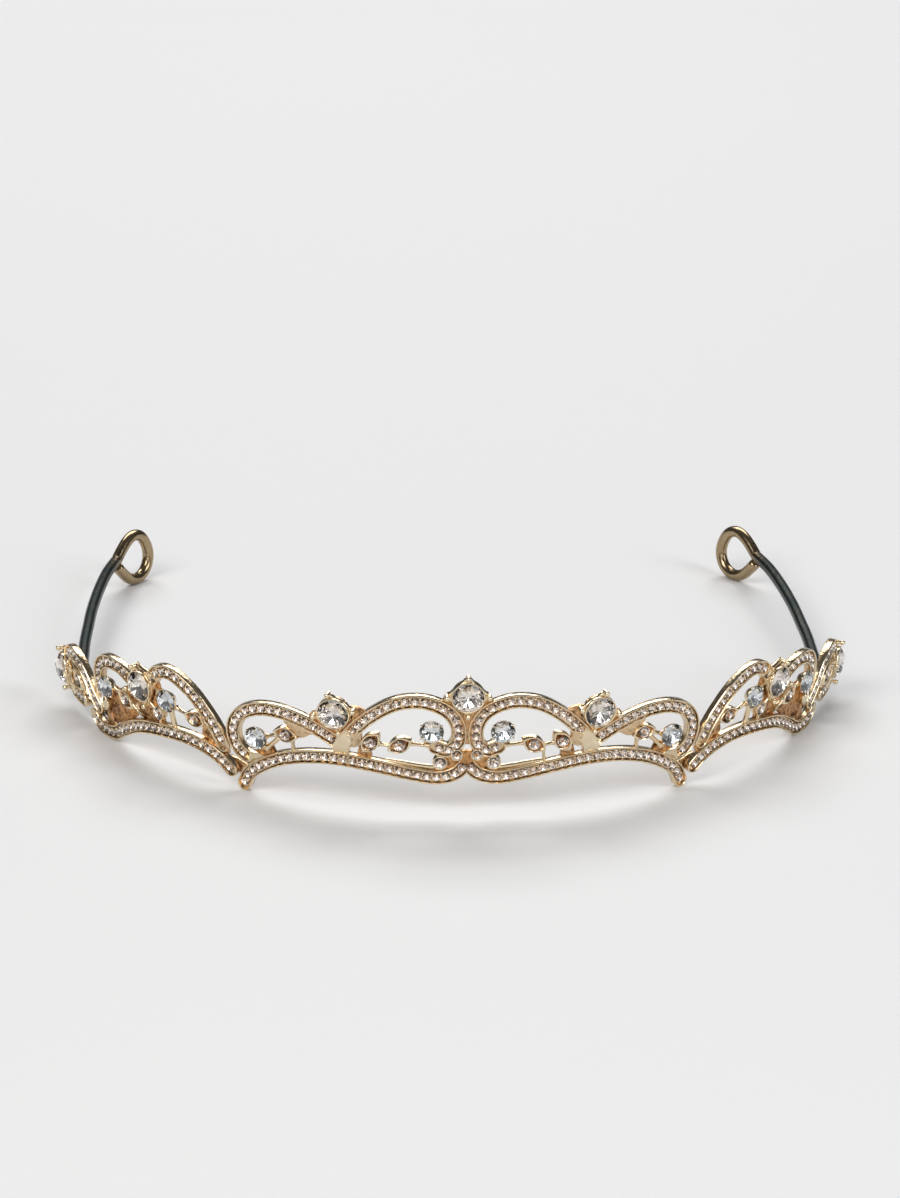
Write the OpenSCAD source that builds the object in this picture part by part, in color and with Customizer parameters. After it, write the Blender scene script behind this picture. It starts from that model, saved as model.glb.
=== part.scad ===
// Tiara of cast gold-coloured metal with clear round stones.
// Millimetres. Seen from the front X runs to the right; Y runs from front to back, and Z is up.
// The ring's axis is X = Y = 0, and the floor it stands on is Z = 0.
// The pattern is laid out flat, as a distance along the ring and a height, and wrapped on a leaning wall.

/* [Ring] */
// Radius of the ring that the pattern is wrapped on, at floor height
ring_r = 70; // [60:1:80]
// Outward lean of the wall, in degrees
lean = 6.3; // [0:0.1:12]

/* [Channel strips] */
// Width of a paved channel strip
strip_w = 2.6; // [2.3:0.1:2.7]
// Depth of the casting, from its front to its back
strip_d = 1.4; // [1.2:0.1:1.6]
// Distance between the cross sections of a strip
ring_step = 2; // [1.6:0.1:2.4]
// Width of the thin stems that carry the leaves and the stones
stem_w = 0.7; // [0.6:0.05:0.9]
// Gap between two castings, and between a stone or setting and its seat
gap = 0.1; // [0.05:0.05:0.2]

/* [Stones] */
// Diameter of the large stones in four-claw settings
big_stone_d = 5.2; // [4.8:0.1:5.6]
// Diameter of the medium stones in open cups
mid_stone_d = 4.2; // [3.8:0.1:4.4]
// Length of a leaf with a small stone on it
leaf_l = 4.6; // [4:0.1:5]
// Width of that leaf
leaf_w = 2.9; // [2.4:0.1:3.1]
// Diameter of the small round seats
seat_d = 2.6; // [2.2:0.1:2.8]

/* [Settings] */
// Width of the rim around a large stone
rim_w = 0.3; // [0.25:0.05:0.4]
// Height of a setting's cup
cup_h = 1.3; // [1.2:0.05:1.5]
// Thickness of the metal that is left behind a setting
plate_t = 0.5; // [0.4:0.05:0.6]
// Diameter of the ball on a claw
claw_d = 1; // [0.9:0.05:1.1]

/* [Wires] */
// Diameter of the side wires
wire_d = 2.1; // [1.8:0.1:2.3]
// Height of the teardrop loop, over its wire
loop_h = 10.3; // [9.5:0.1:11.5]
// Length of the teardrop loop, over its wire
loop_l = 11.8; // [11:0.1:13]

/* [Hidden] */
$fn = 32;

gold = "goldenrod";
glass = "aliceblue";
dark_gold = "darkgoldenrod";
half_w = strip_w / 2;
rest_z = half_w / cos(lean);
big_r = big_stone_d / 2;
mid_r = mid_stone_d / 2;
cup_r = big_r + rim_w;
claw_reach = 0.7;
claw_r = cup_r + claw_reach;
claw_stem_d = claw_d * 0.8;
cup_hole = 1.2;
arm_h = 0.7;
stone_lift = 0.1;
culet = 0.45;
cup_back = -strip_d + plate_t + gap;
room_h = 4;
ledge_half = 0.3;
ledge_front = -0.55;
rib_half = 0.7;
rib_back = -strip_d - 0.8;
foot_front = -0.85;
lap_t = 0.7;
lap_back = -strip_d - gap - lap_t;
leaf_tip_d = 0.4;
rim_front = cup_back + cup_h;

// Centre lines of the channel strips, drawn on the flat: columns are along the ring and up
big_arch = [
    [5.2, 12.5], [3.2, 12.0], [1.8, 13.2], [1.4, 15.0], [1.7, 17.0], [2.9, 19.0], [5.3, 20.5],
    [8.4, 21.1], [12.0, 20.4], [15.5, 18.3], [18.6, 15.4], [20.8, 12.4], [21.2, 10.3],
];
centre_rail = [
    [0.3, 9.2], [2.0, 7.5], [5.3, 6.7], [10.0, 7.4], [15.5, 8.4], [21.5, 9.1],
    [27.0, 8.8], [32.1, 7.5], [36.1, 5.4], [38.4, 3.4], [39.5, rest_z],
];
scroll = [
    [21.2, 10.3], [22.0, 12.2], [24.4, 13.8], [28.0, 15.5], [32.0, 16.5], [35.7, 16.4], [38.9, 15.1],
    [40.8, 12.7], [41.1, 10.2], [40.1, 7.8], [38.2, 6.6], [36.2, 6.6],
];
side_rail = [
    [42.1, 3.3], [44.0, 4.9], [47.0, 6.3], [51.5, 7.1], [57.5, 6.8], [63.5, 5.6],
    [68.0, 3.5], [71.0, 1.8], [74.0, rest_z], [76.5, 1.5], [78.4, 2.7],
];
inner_arch = [
    [43.3, 7.8], [44.4, 10.0], [46.5, 13.0], [49.8, 16.4], [54.0, 18.5], [57.2, 17.9], [59.2, 15.6],
];
outer_arch = [
    [64.2, 14.0], [67.8, 15.5], [71.8, 15.3], [74.4, 13.5], [75.3, 10.9], [74.9, 8.5], [73.6, 6.6],
];
end_arch = [
    [76.2, 5.0], [78.6, 6.9], [80.3, 8.9], [82.8, 10.8], [85.8, 11.6], [88.7, 10.9], [90.2, 9.0],
    [90.3, 6.6], [89.3, 4.5],
];
end_bar = [[89.2, 4.3], [86.0, 3.9], [82.6, 3.9]];

// Stones: columns are along the ring, up, and the turn of the claws in degrees
centre_seat = [0, 22.35, 0];
crest_seat = [22.3, 17.9, -14];
side_seat = [61.6, 14.1, -22];
end_seat = [91.9, 6.7, -12];
arch_seat = [5.9, 15.6];
scroll_seat = [36.5, 10.8];
inner_seat = [55.2, 13.1];
outer_seat = [72.2, 10.3];

// Leaves: columns are along the ring, up, and the turn of the long axis in degrees
centre_leaves = [[11.3, 12.6, -28], [16.2, 12.8, -52], [31.1, 12.3, 8]];
side_leaves = [[49.2, 11.2, 12], [66.6, 9.8, 35]];
end_leaves = [[84.8, 7.0, 40]];
// Small round seats: columns are along the ring and up
centre_small = [[1.7, 11.0], [4.5, 9.6]];
side_small = [[57.6, 10.0]];
// Stems: columns are where each starts and where it ends
centre_stems = [
    [[6.2, 12.6], [9.8, 12.9]], [[12.9, 12.3], [14.8, 12.5]], [[17.2, 12.6], [19.0, 13.0]],
    [[30.0, 11.3], [29.9, 9.2]], [[32.9, 11.8], [34.9, 11.1]], [[31.9, 11.9], [35.0, 8.6]],
];
side_stems = [
    [[47.6, 11.0], [46.4, 10.6]], [[50.9, 11.4], [53.6, 12.0]], [[56.8, 14.2], [59.2, 14.6]],
    [[57.6, 9.2], [57.8, 7.2]], [[58.6, 10.2], [60.4, 11.4]], [[65.4, 9.2], [62.0, 7.6]],
    [[68.2, 10.2], [71.0, 10.2]], [[58.6, 16.7], [62.7, 17.4]], [[55.0, 11.6], [54.2, 7.6]],
];
end_stems = [[[83.4, 6.2], [82.6, 4.6]], [[86.2, 8.2], [88.6, 10.0]]];
// A strut that only the right half of the centre has: columns are where it starts and where it ends
strut = [[12.9, 12.0], [13.3, 8.7]];
// A thin ledge on the centre rail and a plain rib behind it: columns are along the ring and up
ledge = [[5.6, 8.4], [8.0, 8.65], [11.0, 9.05], [13.5, 9.3]];
rib = [[17.5, 8.0], [22.0, 8.2], [27.0, 7.9], [31.0, 6.8], [34.0, 5.6]];

// Cast metal between the strips: columns are the depth of its front, and its corners along the ring and up
centre_webs = [
    [-0.5, [
        [18.8, 15.2], [21.4, 12.2], [24.2, 14.0], [26.9, 16.2],
        [26.4, 17.4], [18.6, 19.2], [16.4, 18.2],
    ]],
    [-0.85, [[19.4, 16.6], [21.4, 14.6], [24.2, 14.8], [25.6, 17.6], [23.4, 20.2], [20.4, 19.8]]],
    [-0.5, [[-0.2, 18.6], [2.6, 18.6], [4.6, 20.4], [3.9, 22.0], [2.0, 24.0], [-0.2, 25.0]]],
    [-0.3, [[19.0, 11.5], [20.4, 11.8], [19.6, 14.2], [17.9, 14.6], [17.7, 12.2]]],
    [-0.45, [[16.1, 9.4], [18.5, 9.4], [18.2, 11.7], [16.3, 11.6]]],
    [-0.8, [[2.6, 11.4], [4.6, 11.2], [6.9, 12.4], [7.4, 14.2], [5.6, 14.6], [3.6, 13.2]]],
    [-0.6, [[1.2, 8.4], [3.4, 7.4], [5.4, 8.0], [4.8, 10.4], [2.8, 11.4], [1.0, 10.6]]],
    [-0.45, [
        [26.6, 12.9], [28.0, 12.1], [29.6, 12.0], [30.8, 13.6],
        [31.8, 15.8], [28.0, 15.0], [25.4, 13.2],
    ]],
    [-0.45, [[33.2, 7.6], [35.4, 6.2], [37.2, 7.4], [36.0, 9.4], [33.9, 9.4]]],
];
middle_webs = [
    [-0.85, [[-1.9, 20.6], [-1.9, 17.8], [1.9, 17.8], [1.9, 20.6]]],
    [-0.5, [[-1.3, 18.6], [-1.2, 13.3], [1.2, 13.3], [1.3, 18.6]]],
    [-0.6, [[-1.6, 11.5], [-1.8, 8.6], [1.8, 8.6], [1.6, 11.5]]],
];
side_webs = [
    [-0.8, [
        [42.6, 6.0], [46.4, 7.0], [48.2, 8.4], [47.9, 10.4], [48.6, 12.6],
        [48.4, 14.4], [46.0, 12.6], [43.6, 9.2],
    ]],
    [-0.75, [
        [57.0, 7.4], [62.4, 7.0], [64.6, 10.2], [66.4, 13.4], [65.0, 15.4],
        [62.0, 15.8], [57.6, 15.6], [57.4, 12.0],
    ]],
    [-0.95, [
        [64.4, 7.0], [67.0, 5.4], [69.8, 3.8], [72.8, 3.8], [74.4, 6.0],
        [73.8, 8.6], [71.2, 10.6], [68.4, 10.4], [65.6, 9.0],
    ]],
    [-0.8, [[72.9, 5.0], [71.6, 2.6], [74.4, 1.8], [74.5, 4.4], [74.2, 6.0]]],
];
end_webs = [
    [-0.86, [[89.4, 4.4], [93.2, 4.5], [94.8, 6.7], [93.2, 8.8], [89.4, 9.4]]],
    [-0.9, [[86.0, 10.4], [86.6, 7.4], [85.6, 4.8], [88.0, 4.6], [89.4, 7.2], [88.4, 10.2]]],
];
// The rail's foot and the plate that laps behind the side section: columns are along the ring and up
foot = [[38.0, 2.6], [39.8, 1.6], [40.4, 2.4], [40.0, 4.0], [38.4, 4.6]];
lap = [[39.0, 2.2], [43.2, 2.6], [44.6, 4.4], [42.8, 5.2], [39.0, 3.8]];
// The wire's centre line: columns are along the ring, up, and out of the wall
wire_back = -strip_d - wire_d / 2 - gap;
wire_line = [
    [74.0, 2.9, wire_back], [79.5, 3.4, wire_back], [85.5, 3.8, wire_back - 0.05],
    [91.5, 3.9, wire_back - 0.5], [97.0, 4.1, -4.0], [104.0, 4.3, -5.1], [115.0, 4.8, -5.9],
    [125.5, 5.3, -5.4], [134.5, 5.8, -4.2], [142.5, 6.1, -2.4], [148.0, 6.2, -1.0],
];
// The teardrop loop at its end: columns are shares of the loop's length and of its height
loop_line = [
    [0.00, 0.64], [0.20, 0.80], [0.41, 0.94], [0.63, 1.00], [0.84, 0.90], [0.97, 0.66], [1.00, 0.40],
    [0.91, 0.16], [0.74, 0.02], [0.53, 0.00], [0.32, 0.10], [0.15, 0.28], [0.03, 0.42],
];

// A point of the flat pattern on the leaning wall; d is how far it stands out of the wall
function wall(s, z, d) =
    let (a = s / ring_r * 180 / PI, r = ring_r + z * sin(lean) + d * cos(lean))
    [r * sin(a), -r * cos(a), z * cos(lean) - d * sin(lean)];

function unit(v) = v / norm(v);
function left_of(v) = [-v[1], v[0]];

// A point of the smooth curve through the rows of a table, t of the way from row i to the next
function bend(p, i, t) =
    let (
        n = len(p) - 1,
        b = p[i], c = p[i + 1],
        a = i > 0 ? p[i - 1] : 2 * b - c,
        d = i < n - 1 ? p[i + 2] : 2 * c - b
    )
    0.5 * (2 * b + (c - a) * t + (2 * a - 5 * b + 4 * c - d) * t * t + (3 * b - a - 3 * c + d) * t * t * t);

function smooth(p, step = ring_step) = concat(
    [for (i = [0 : len(p) - 2], n = ceil(norm(p[i + 1] - p[i]) / step), j = [0 : n - 1]) bend(p, i, j / n)],
    [p[len(p) - 1]]
);

function heading(q, i) = unit(q[min(i + 1, len(q) - 1)] - q[max(i - 1, 0)]);

// Sections of a round end: columns are the turn in degrees
end_turns = [80, 55, 28];

// A strip's sections, with round ends: columns are the point, its heading and its half width
function sections(q, h) = concat(
    [for (a = end_turns) [q[0] - h * sin(a) * heading(q, 0), heading(q, 0), h * cos(a)]],
    [for (i = [0 : len(q) - 1]) [q[i], heading(q, i), h]],
    [for (k = [2 : -1 : 0], a = end_turns[k], e = len(q) - 1)
        [q[e] + h * sin(a) * heading(q, e), heading(q, e), h * cos(a)]]
);

// A closed skin over rings of four points each
module skin(rings) {
    n = len(rings);
    polyhedron(
        points = [for (r = rings, p = r) p],
        faces = concat(
            [[0, 1, 2], [0, 2, 3]],
            [for (i = [0 : n - 2], j = [0 : 3], k = (j + 1) % 4, f = [0, 1])
                f == 0 ? [4 * i + j, 4 * i + 4 + k, 4 * i + k] : [4 * i + j, 4 * i + 4 + j, 4 * i + 4 + k]],
            [[4 * n - 4, 4 * n - 2, 4 * n - 3], [4 * n - 4, 4 * n - 1, 4 * n - 2]]
        )
    );
}

// Sections on the wall, between the depths back and front
module band(parts, back, front) {
    skin([
        for (c = parts, side = [left_of(c[1]) * c[2]])
            [for (k = [[1, front], [-1, front], [-1, back], [1, back]])
                wall(c[0][0] + k[0] * side[0], c[0][1] + k[0] * side[1], k[1])]
    ]);
}

module strip(table) band(sections(smooth(table), half_w), -strip_d, 0);

module stem(ends) {
    hull() for (p = ends) place(p, -strip_d + 0.1) cylinder(d = stem_w, h = strip_d - 0.4, $fn = 6);
}

// Puts its children on the wall, with their Z axis out of it and their Y axis up it
module place(seat, d = 0) {
    translate(wall(seat[0], seat[1], d))
        rotate([0, 0, seat[0] / ring_r * 180 / PI])
            rotate([90 + lean, 0, 0])
                rotate([0, 0, len(seat) > 2 ? seat[2] : 0]) children();
}

// A pointed leaf with a small stone on it
module leaf(seat) {
    hull() {
        place(seat, -strip_d + 0.1) cylinder(d = leaf_w, h = strip_d - 0.1, $fn = 8);
        for (k = [-1, 1])
            place(seat, -strip_d + 0.1) translate([k * (leaf_l - leaf_tip_d) / 2, 0, 0])
                cylinder(d = leaf_tip_d, h = strip_d - 0.2, $fn = 4);
    }
}

module small_seat(seat) place(seat, -strip_d) cylinder(d = seat_d, h = strip_d - 0.05, $fn = 10);

// The open cup behind a medium stone
module open_cup(seat) {
    hull() {
        place(seat, -strip_d) cylinder(r = mid_r * 0.55, h = 0.3, $fn = 12);
        place(seat, -0.5) cylinder(r = mid_r * 0.92, h = 0.45, $fn = 12);
    }
}

// Cast metal between the strips: columns of the corners are along the ring and up
module web(corners, front, back = -strip_d) {
    n = len(corners);
    mid = [for (k = [0, 1]) [for (c = corners) c[k]] * [for (c = corners) 1 / n]];
    flat = concat([mid], corners);
    polyhedron(
        points = concat([for (c = flat) wall(c[0], c[1], front)], [for (c = flat) wall(c[0], c[1], back)]),
        faces = concat(
            [for (i = [1 : n], j = [i % n + 1]) [0, j, i]],
            [for (i = [1 : n], j = [i % n + 1]) [n + 1, n + 1 + i, n + 1 + j]],
            [for (i = [1 : n], j = [i % n + 1], f = [0, 1])
                f == 0 ? [i, j, n + 1 + j] : [i, n + 1 + j, n + 1 + i]]
        )
    );
}

module webs(table) for (w = table) web(w[1], w[0]);

// The room that a large setting takes in a casting
module setting_room(seat) place(seat, cup_back - gap) {
    cylinder(r = cup_r + gap, h = room_h, $fn = 20);
    for (a = [0 : 90 : 270])
        rotate([0, 0, a]) hull() for (r = [0, claw_r]) translate([0, r, 0])
            cylinder(r = claw_d / 2 + gap, h = room_h, $fn = 8);
}

// The room that a medium stone takes in its cup
module stone_room(seat) {
    place(seat, stone_lift - culet * mid_r - gap)
        cylinder(r1 = 0.3 * mid_r, r2 = 1.2 * mid_r, h = 0.5 * mid_r, $fn = 16);
}

module centre_half() {
    strip(big_arch);
    strip(centre_rail);
    strip(scroll);
    for (p = centre_leaves) leaf(p);
    for (p = centre_small) small_seat(p);
    for (p = centre_stems) stem(p);
    open_cup(arch_seat);
    open_cup(scroll_seat);
    webs(centre_webs);
    band(sections(smooth(ledge), ledge_half), -strip_d + 0.1, ledge_front);
    band(sections(smooth(rib), rib_half), rib_back, -strip_d + 0.3);
    web(foot, foot_front, lap_back);
    web(lap, -strip_d - gap, lap_back);
}

module centre_frame() color(gold) difference() {
    union() {
        centre_half();
        mirror([1, 0, 0]) centre_half();
        webs(middle_webs);
        stem(strut);
    }
    setting_room(centre_seat);
    for (side = [-1, 1]) {
        setting_room([side * crest_seat[0], crest_seat[1], side * crest_seat[2]]);
        stone_room([side * arch_seat[0], arch_seat[1]]);
        stone_room([side * scroll_seat[0], scroll_seat[1]]);
    }
}

module side_frame() color(gold) difference() {
    union() {
        strip(side_rail);
        strip(inner_arch);
        strip(outer_arch);
        for (p = side_leaves) leaf(p);
        for (p = side_small) small_seat(p);
        for (p = side_stems) stem(p);
        open_cup(inner_seat);
        open_cup(outer_seat);
        webs(side_webs);
    }
    setting_room(side_seat);
    stone_room(inner_seat);
    stone_room(outer_seat);
}

module end_frame() color(gold) difference() {
    union() {
        strip(end_arch);
        strip(end_bar);
        for (p = end_leaves) leaf(p);
        for (p = end_stems) stem(p);
        webs(end_webs);
    }
    setting_room(end_seat);
}

// A round cup with a ledge for the stone and four claws, each ending in a ball
module setting(seat) color(gold) place(seat, cup_back) {
    difference() {
        cylinder(r1 = cup_r - 0.3, r2 = cup_r, h = cup_h);
        translate([0, 0, -1]) cylinder(r = cup_hole, h = cup_h + 2);
        translate([0, 0, 0.3]) cylinder(r1 = cup_hole, r2 = big_r + gap, h = cup_h - 0.5);
        translate([0, 0, cup_h - 0.21]) cylinder(r = big_r + gap, h = 1);
    }
    for (a = [0 : 90 : 270])
        rotate([0, 0, a]) {
            hull() for (r = [cup_r - 0.1, claw_r])
                translate([0, r, 0.1]) cylinder(d = claw_stem_d, h = arm_h);
            translate([0, claw_r, 0.2]) cylinder(d = claw_stem_d, h = cup_h - 0.1);
            translate([0, claw_r, cup_h + 0.1]) sphere(d = claw_d);
        }
}

// A round brilliant: its girdle is at height 0 and its table faces out
module brilliant(r) {
    rotate_extrude($fn = 48) polygon([
        [0, -culet * r], [0.12 * r, -culet * r], [r, -0.06 * r],
        [r, 0.06 * r], [0.58 * r, 0.36 * r], [0, 0.36 * r],
    ]);
}

module big_stone(seat) color(glass) place(seat, rim_front - 0.05) brilliant(big_r);
module mid_stone(seat) color(glass) place(seat, stone_lift) brilliant(mid_r);

// The wire's route, behind the side and end sections, along the ring and round its loop
wire_end = wire_line[len(wire_line) - 1];
loop_out = wire_end[2] + 0.2;
loop_rest = (wire_d / 2 + loop_out * sin(lean)) / cos(lean);
wire_route = smooth(concat(
    wire_line,
    [for (p = loop_line)
        [wire_end[0] + 0.7 + p[0] * (loop_l - wire_d), loop_rest + p[1] * (loop_h - wire_d), loop_out]]
), 2.2);

// A round bar along a route of points on the wall
module round_bar(q, r, sides) {
    n = len(q);
    rings = [for (i = [0 : n - 1], h = [heading(q, i)], u = [unit(cross(h, [0, 0, 1]))], v = [cross(h, u)])
        [for (k = [0 : sides - 1], a = 360 * k / sides, p = [q[i] + r * cos(a) * u + r * sin(a) * v])
            wall(p[0], p[1], p[2])]];
    polyhedron(
        points = [for (c = rings, p = c) p],
        faces = concat(
            [[for (k = [0 : sides - 1]) k]],
            [for (i = [0 : n - 2], j = [0 : sides - 1], k = (j + 1) % sides)
                [sides * i + j, sides * i + sides + j, sides * i + sides + k, sides * i + k]],
            [[for (k = [sides - 1 : -1 : 0]) sides * (n - 1) + k]]
        )
    );
}

module side_wire() color(dark_gold) round_bar(wire_route, wire_d / 2, 10);

module left() mirror([1, 0, 0]) children();

centre_frame();
side_frame();  // side_frame_right
left() side_frame();  // side_frame_left
end_frame();  // end_frame_right
left() end_frame();  // end_frame_left
side_wire();  // side_wire_right
left() side_wire();  // side_wire_left
setting(centre_seat);  // centre_setting
setting(crest_seat);  // crest_setting_right
left() setting(crest_seat);  // crest_setting_left
setting(side_seat);  // side_setting_right
left() setting(side_seat);  // side_setting_left
setting(end_seat);  // end_setting_right
left() setting(end_seat);  // end_setting_left
big_stone(centre_seat);  // centre_stone
big_stone(crest_seat);  // crest_stone_right
left() big_stone(crest_seat);  // crest_stone_left
big_stone(side_seat);  // side_stone_right
left() big_stone(side_seat);  // side_stone_left
big_stone(end_seat);  // end_stone_right
left() big_stone(end_seat);  // end_stone_left
mid_stone(arch_seat);  // arch_stone_right
left() mid_stone(arch_seat);  // arch_stone_left
mid_stone(scroll_seat);  // scroll_stone_right
left() mid_stone(scroll_seat);  // scroll_stone_left
mid_stone(inner_seat);  // inner_stone_right
left() mid_stone(inner_seat);  // inner_stone_left
mid_stone(outer_seat);  // outer_stone_right
left() mid_stone(outer_seat);  // outer_stone_left
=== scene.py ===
import math
import random

import bmesh
import bpy
from mathutils import Matrix, Vector


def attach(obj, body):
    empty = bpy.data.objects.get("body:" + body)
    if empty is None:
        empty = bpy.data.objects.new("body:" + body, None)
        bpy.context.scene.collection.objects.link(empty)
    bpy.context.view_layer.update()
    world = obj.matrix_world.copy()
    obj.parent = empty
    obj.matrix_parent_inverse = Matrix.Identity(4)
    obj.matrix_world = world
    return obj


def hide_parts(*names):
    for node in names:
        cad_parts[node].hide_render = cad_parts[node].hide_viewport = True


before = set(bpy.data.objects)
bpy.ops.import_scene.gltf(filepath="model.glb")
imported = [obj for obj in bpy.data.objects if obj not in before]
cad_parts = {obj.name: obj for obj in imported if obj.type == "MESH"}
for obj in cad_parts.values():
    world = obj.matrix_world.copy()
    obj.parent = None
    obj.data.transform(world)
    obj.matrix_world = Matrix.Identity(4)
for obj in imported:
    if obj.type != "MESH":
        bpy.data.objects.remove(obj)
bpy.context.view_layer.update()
mm = 0.001

# the ring that the flat pattern is wrapped on, in millimetres, as in the part's source
ring = {"radius": 70.0, "lean": math.radians(6.3), "back": -1.4}


def onWall(s, z, d=0.0):
    # s runs along the ring, z up it and d out of it
    turn = s / ring["radius"]
    reach = ring["radius"] + z * math.sin(ring["lean"]) + d * math.cos(ring["lean"])
    height = z * math.cos(ring["lean"]) - d * math.sin(ring["lean"])
    return Vector((reach * math.sin(turn), -reach * math.cos(turn), height))


def seatMatrix(s, z, d=0.0, spin=0.0):
    # X along the ring, Y up the wall, Z out of it
    return (
        Matrix.Translation(onWall(s, z, d))
        @ Matrix.Rotation(s / ring["radius"], 4, "Z")
        @ Matrix.Rotation(math.pi / 2 + ring["lean"], 4, "X")
        @ Matrix.Rotation(math.radians(spin), 4, "Z")
    )


# a value that comes out of a node; sums of them add their own Math nodes
class Reading:
    def __init__(self, finish, socket):
        self.finish = finish
        self.socket = socket

    def sum(self, operation, first, second):
        return self.finish.add("ShaderNodeMath", {"operation": operation}, {0: first, 1: second})

    def __add__(self, other):
        return self.sum("ADD", self, other)

    def __radd__(self, other):
        return self.sum("ADD", other, self)

    def __sub__(self, other):
        return self.sum("SUBTRACT", self, other)

    def __rsub__(self, other):
        return self.sum("SUBTRACT", other, self)

    def __mul__(self, other):
        return self.sum("MULTIPLY", self, other)

    def __rmul__(self, other):
        return self.sum("MULTIPLY", other, self)


# a material being made
class Finish:
    def __init__(self, name):
        self.material = bpy.data.materials.new(name)
        self.material.use_nodes = True
        self.tree = self.material.node_tree
        self.surface = self.tree.nodes["Principled BSDF"]

    def fill(self, node, values):
        for key, value in values.items():
            if isinstance(value, Reading):
                self.tree.links.new(value.socket, node.inputs[key])
            else:
                node.inputs[key].default_value = value

    def add(self, kind, settings=None, values=None, out=0):
        node = self.tree.nodes.new(kind)
        for key, value in (settings or {}).items():
            setattr(node, key, value)
        self.fill(node, values or {})
        return Reading(self, node.outputs[out])

    def mix(self, share, first, second):
        # 6 and 7 are the colours that go into a Mix node, 2 is the one that comes out
        settings = {"data_type": "RGBA", "clamp_factor": True}
        return self.add("ShaderNodeMix", settings, {0: share, 6: first, 7: second}, out=2)

    def noise(self, place, scale, detail, rough=0.5):
        values = {"Vector": place, "Scale": scale, "Detail": detail, "Roughness": rough}
        return self.add("ShaderNodeTexNoise", {}, values)

    def bump(self, height, strength, distance, under=None):
        values = {"Strength": strength, "Distance": distance, "Height": height}
        if under:
            values["Normal"] = under
        return self.add("ShaderNodeBump", {}, values)


goldLook = {
    "pale": (0.84, 0.71, 0.50, 1),  # rims and high places
    "deep": (0.60, 0.27, 0.07, 1),  # painted shade for webs and hollows
    "paintedShade": (0.15, 0.055, 0.012, 1),  # painted shadow in the lowest places, speckled by noise
    "rough": 0.14,
    "roughVary": 0.12,
    "castBump": 0.30,
    "fineBump": 0.05,
}
wireLook = {
    "pale": (0.52, 0.38, 0.22, 1),  # the loop
    "deep": (0.035, 0.05, 0.05, 1),  # painted dark reflection on the straight part
    "paintedShade": (0.03, 0.04, 0.04, 1),
    "rough": 0.18,
    "roughVary": 0.14,
    "castBump": 0.03,
    "fineBump": 0.03,
}
# both metals: the scale, detail and roughness of their noises, what each does, and heights in metres
metalGrain = {
    "clouds": (260, 2, 0.5),
    "cast": (1500, 4, 0.6),
    "fine": (6000, 3, 0.6),
    # hollowTone and the three shade values below paint shade into the recesses
    "hollowTone": 0.85,
    "cloudTone": 0.5,
    "castTone": 0.25,
    "shadeBase": 0.25,
    "castShadeSpeckle": 6.0,
    "cloudShadeSpeckle": 2.5,
    "rimRelief": 0.18,
    "hollowRelief": 2.4,
    "castHeight": 0.0004,
    "fineHeight": 0.0001,
    "hollowRough": 0.12,
}


def metalFinish(name, look):
    grain = metalGrain
    finish = Finish(name)
    place = finish.add("ShaderNodeTexCoord", out="Object")
    recess = finish.add("ShaderNodeAttribute", {"attribute_name": "recess"}, out="Fac")
    clouds = finish.noise(place, *grain["clouds"])
    cast = finish.noise(place, *grain["cast"])
    fine = finish.noise(place, *grain["fine"])
    # recess paints shade: the colour turns towards the deep colour, then towards the painted shadow colour
    # each noise swings round 0.5
    tone = recess * grain["hollowTone"] + (clouds - 0.5) * grain["cloudTone"]
    tone = tone + (cast - 0.5) * grain["castTone"]
    shadeShare = recess * (grain["shadeBase"] + (0.5 - cast) * grain["castShadeSpeckle"] + (0.5 - clouds) * grain["cloudShadeSpeckle"])
    relief = cast * (grain["rimRelief"] + recess * grain["hollowRelief"])
    castBump = finish.bump(relief, look["castBump"], grain["castHeight"])
    finish.fill(
        finish.surface,
        {
            "Base Color": finish.mix(shadeShare, finish.mix(tone, look["pale"], look["deep"]), look["paintedShade"]),
            "Metallic": 1.0,
            "Roughness": look["rough"] + (cast - 0.5) * look["roughVary"] + recess * grain["hollowRough"],
            "Normal": finish.bump(fine, look["fineBump"], grain["fineHeight"], castBump),
        },
    )
    return finish.material


stoneLook = {
    "tint": (1.0, 1.0, 1.0, 1),
    "haze": (0.93, 0.95, 0.97, 1),
    "hazeNoise": (900, 2),  # scale, detail
    "hazeTint": 0.12,
    "hazeRough": 0.02,
    "ior": 1.58,
    # colour of the back, the dark reflections painted on it in patches, its roughness
    "cup": ((0.95, 0.98, 1.0, 1), (0.38, 0.42, 0.46, 1), 0.04),
    "claw": ((1.0, 0.95, 0.90, 1), (0.50, 0.43, 0.37, 1), 0.05),
    # the pavé back is warm: painted reflection of the gold round the small stones
    "pave": ((1.0, 0.91, 0.84, 1), (0.50, 0.37, 0.30, 1), 0.10),
    "patchNoise": (1300, 3),
    "patchTint": 3.0,
    "patchRough": 0.06,
}


def glassFinish(name, look):
    finish = Finish(name)
    place = finish.add("ShaderNodeTexCoord", out="Object")
    haze = finish.noise(place, *look["hazeNoise"])
    finish.fill(
        finish.surface,
        {
            "Base Color": finish.mix(haze * look["hazeTint"], look["tint"], look["haze"]),
            "Roughness": haze * look["hazeRough"],
            "IOR": look["ior"],
            "Transmission Weight": 1.0,
        },
    )
    return finish.material


def foilFinish(name, look, kind):
    colour, dark, rough = look[kind]
    finish = Finish(name)
    place = finish.add("ShaderNodeTexCoord", out="Object")
    patchy = finish.noise(place, *look["patchNoise"])
    finish.fill(
        finish.surface,
        {
            # noise paints patches of dark reflection on the mirror back
            "Base Color": finish.mix((patchy - 0.5) * look["patchTint"], colour, dark),
            "Metallic": 1.0,
            "Roughness": rough + patchy * look["patchRough"],
        },
    )
    return finish.material


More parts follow.
